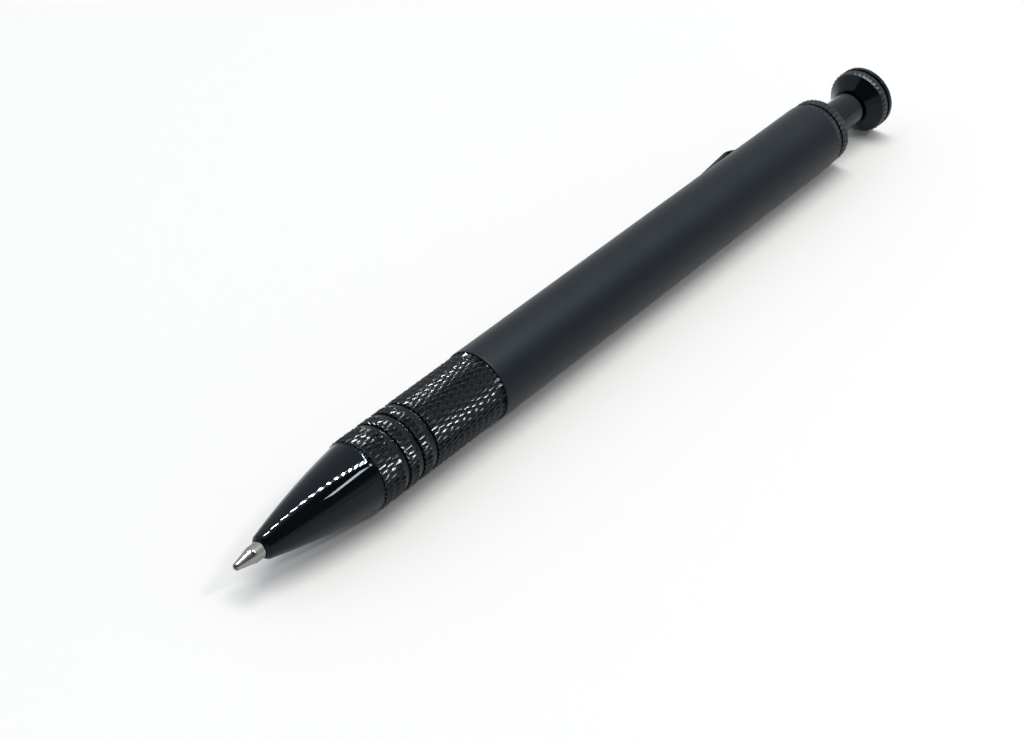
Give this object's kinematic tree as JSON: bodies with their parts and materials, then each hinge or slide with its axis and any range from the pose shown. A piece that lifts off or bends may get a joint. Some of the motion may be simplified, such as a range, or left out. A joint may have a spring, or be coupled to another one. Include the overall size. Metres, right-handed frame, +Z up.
{
  "type": "retractable ballpoint pen",
  "caption": "Slim metal push-button ballpoint pen with an ogive nose, knurled grip bands, a pocket clip and a round thumb button on a sliding stem.",
  "frame": {"origin": "centre of the bounding box in X and Y, on the surface that the pen lies on", "axes": "+X along the pen from nib to button, +Z up from the surface that the barrel and the clip's lower edge rest on"},
  "size_m": [0.1462, 0.0148, 0.011],
  "materials": {
    "gloss_black": "gloss",
    "satin_black": "satin",
    "clip_black": "gloss",
    "brass": "satin",
    "tip_steel": "satin",
    "ball_carbide": "polished",
    "refill_steel": "satin",
    "spring_steel": "satin",
    "ink": "gloss",
    "plug_plastic": "matte",
    "mechanism_plastic": "satin"
  },
  "bodies": {
    "casing": {"nose_cone": "gloss_black", "grip_sleeve": "gloss_black", "grip_bush": "brass", "barrel_tube": "satin_black", "clip": "clip_black", "clip_keeper": "spring_steel", "rear_ferrule": "gloss_black", "end_cap": "gloss_black", "cam_sleeve": "mechanism_plastic", "refill_spring": "spring_steel"},
    "plunger": {"push_cam": "mechanism_plastic", "plunger_stem": "gloss_black", "button_head": "gloss_black", "button_plate": "gloss_black"},
    "refill": {"refill_tip": "tip_steel", "refill_tube": "refill_steel", "ink_column": "ink", "refill_plug": "plug_plastic"},
    "rotor": {"rotor": "mechanism_plastic"},
    "ball": {"tip_ball": "ball_carbide"}
  },
  "joints": [
    {"name": "plunger_slide", "type": "slide", "parent": "casing", "child": "plunger", "axis": [-1, 0, 0], "range_m": [-0.0054, 0.0012]},
    {"name": "refill_slide", "type": "slide", "parent": "casing", "child": "refill", "axis": [-1, 0, 0], "range_m": [-0.0054, 0.0012], "deforming": ["refill_spring"]},
    {"name": "rotor_turn", "type": "hinge", "parent": "refill", "child": "rotor", "pos_m": [0.02795, -0.0019, 0.0055], "axis": [1, 0, 0], "continuous": true},
    {"name": "ball_roll", "type": "hinge", "parent": "refill", "child": "ball", "pos_m": [-0.0727, -0.0019, 0.0055], "axis": [0, 0, 1], "continuous": true}
  ],
  "couplings": [
    {"joint": "refill_slide", "follows": "plunger_slide", "ratio": 1}
  ]
}
